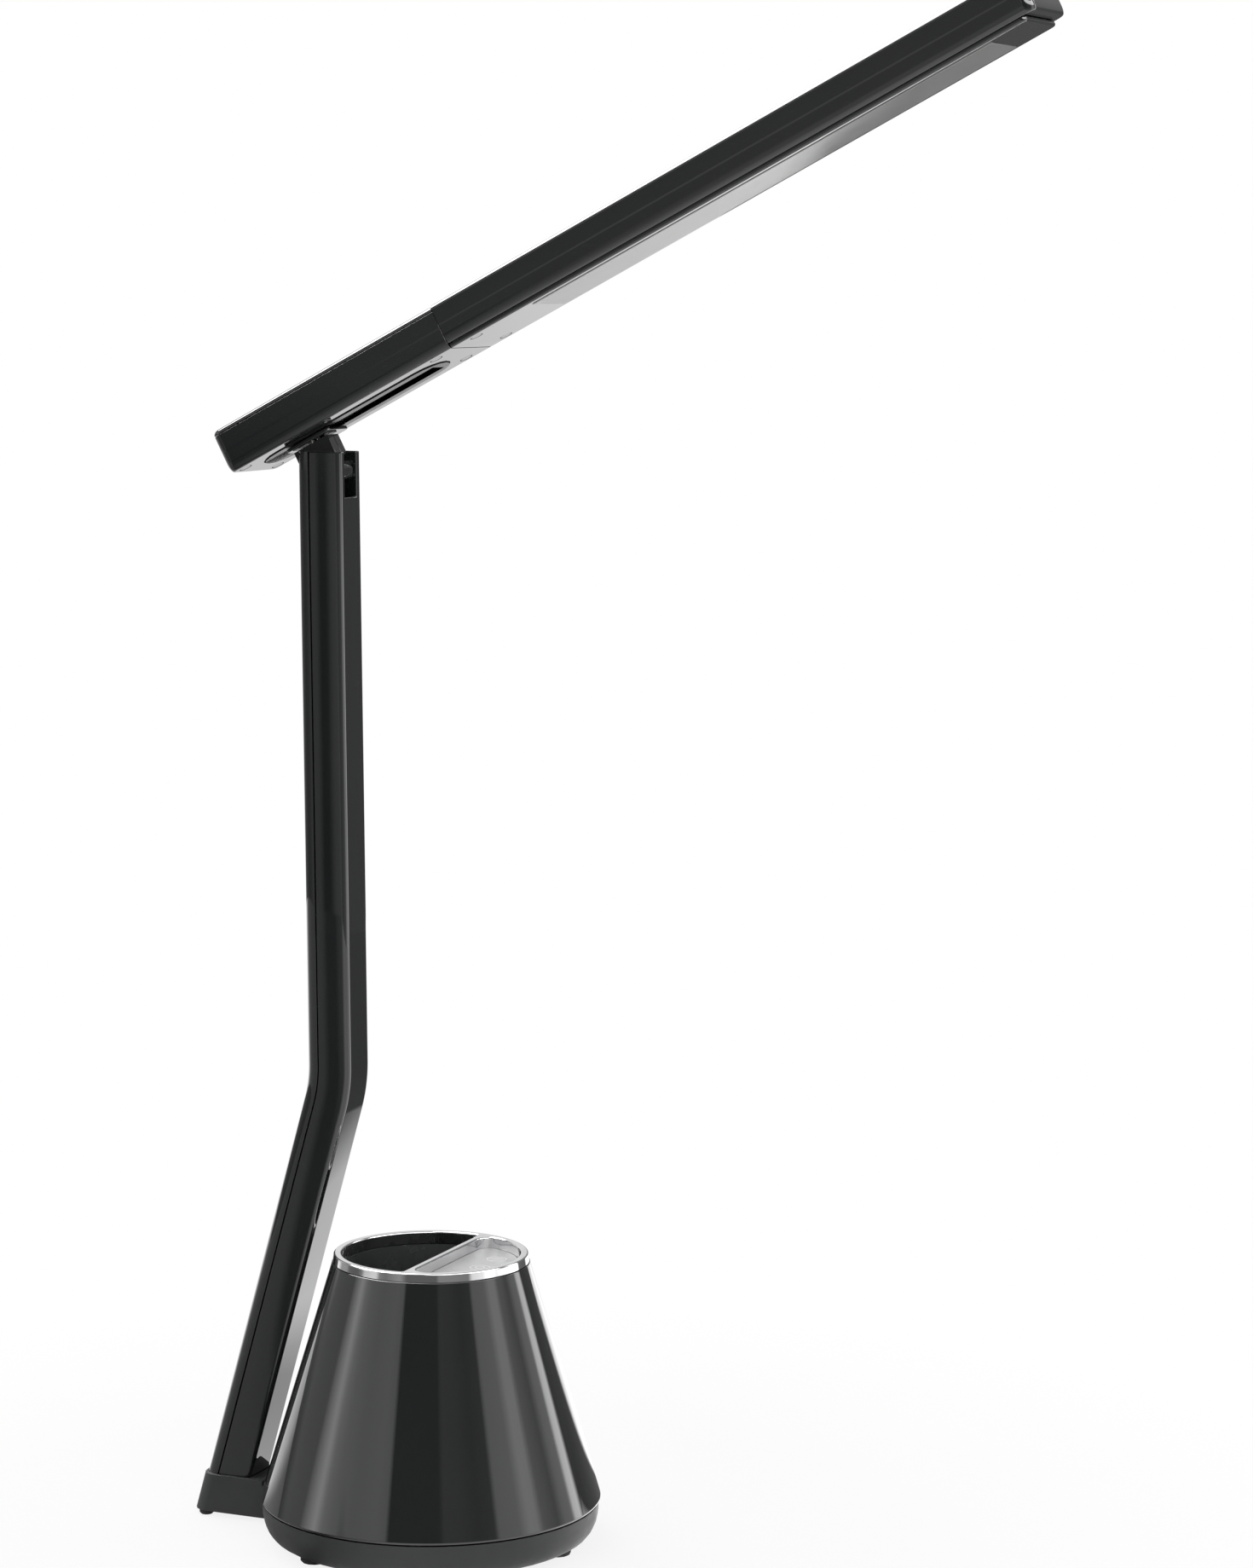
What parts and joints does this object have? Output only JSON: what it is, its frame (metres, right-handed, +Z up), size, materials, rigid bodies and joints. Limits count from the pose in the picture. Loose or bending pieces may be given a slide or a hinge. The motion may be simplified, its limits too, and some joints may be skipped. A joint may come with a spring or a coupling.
{
  "type": "led desk lamp",
  "caption": "Desk lamp with a conical pen cup base, a bent arm and a flat bar head that tilts on a hinge and slides along its track.",
  "frame": {"origin": "on the desk under the centre of the round base, on the cone's axis", "axes": "+Z up along the cone's axis; +X the way the head reaches, away from the arm's foot; +Y across the lamp, to the side that has the power inlet"},
  "size_m": [0.3102, 0.12, 0.5406],
  "materials": {
    "gloss_black": "high gloss moulded black",
    "satin_black": "satin moulded black",
    "chrome": "polished bright plating",
    "panel_silver": "satin silver grey film",
    "milky_white": "milky translucent acrylic",
    "white_coat": "white reflector coating",
    "rubber": "matt black rubber",
    "black_nylon": "smooth black nylon",
    "zinc_screw": "zinc plated",
    "steel": "plain steel",
    "circuit_board": "green solder mask",
    "wire": "black wire jacket"
  },
  "bodies": {
    "base": {"arm_body": "gloss_black", "arm_rear_cover": "gloss_black", "arm_screw_1": "zinc_screw", "arm_screw_2": "zinc_screw", "arm_wire": "wire", "ballast_plate": "steel", "ballast_screw_1": "zinc_screw", "ballast_screw_2": "zinc_screw", "ballast_screw_3": "zinc_screw", "base_cone": "gloss_black", "base_screw_1": "zinc_screw", "base_screw_2": "zinc_screw", "base_screw_3": "zinc_screw", "base_tray": "satin_black", "board_screw_1": "zinc_screw", "board_screw_2": "zinc_screw", "chrome_bezel": "chrome", "dc_inlet": "satin_black", "heel_foot_1": "rubber", "heel_foot_2": "rubber", "hinge_pin": "steel", "inlet_nut": "zinc_screw", "pen_cup": "gloss_black", "power_board": "circuit_board", "rubber_foot_1": "rubber", "rubber_foot_2": "rubber", "rubber_foot_3": "rubber", "touch_board": "circuit_board", "touch_panel": "panel_silver"},
    "neck": {"carriage_screw_1": "zinc_screw", "carriage_screw_2": "zinc_screw", "friction_sleeve": "steel", "neck_half_far": "gloss_black", "neck_half_near": "gloss_black", "slide_carriage": "gloss_black", "slide_shoe": "black_nylon"},
    "head": {"diffuser": "milky_white", "head_front_shell": "gloss_black", "head_rear_lid": "gloss_black", "head_rear_trough": "gloss_black", "head_screw_1": "zinc_screw", "head_screw_2": "zinc_screw", "head_screw_3": "zinc_screw", "head_screw_4": "zinc_screw", "head_screw_5": "zinc_screw", "head_screw_6": "zinc_screw", "head_wire": "wire", "led_board": "white_coat", "light_box": "white_coat", "lower_frame": "gloss_black", "screw_plug_1": "rubber", "screw_plug_2": "rubber", "screw_plug_3": "rubber", "screw_plug_4": "rubber", "screw_plug_5": "rubber", "screw_plug_6": "rubber", "section_coupler": "satin_black", "track_insert": "black_nylon"}
  },
  "joints": [
    {"name": "head_tilt", "type": "hinge", "parent": "base", "child": "neck", "pos_m": [-0.03599, 0, 0.3763], "axis": [0, 1, 0], "range_deg": [-1.5, 103]},
    {"name": "head_slide", "type": "slide", "parent": "neck", "child": "head", "axis": [0.8849, 0, 0.4658], "range_m": [-0.0447, 0.0118]}
  ]
}
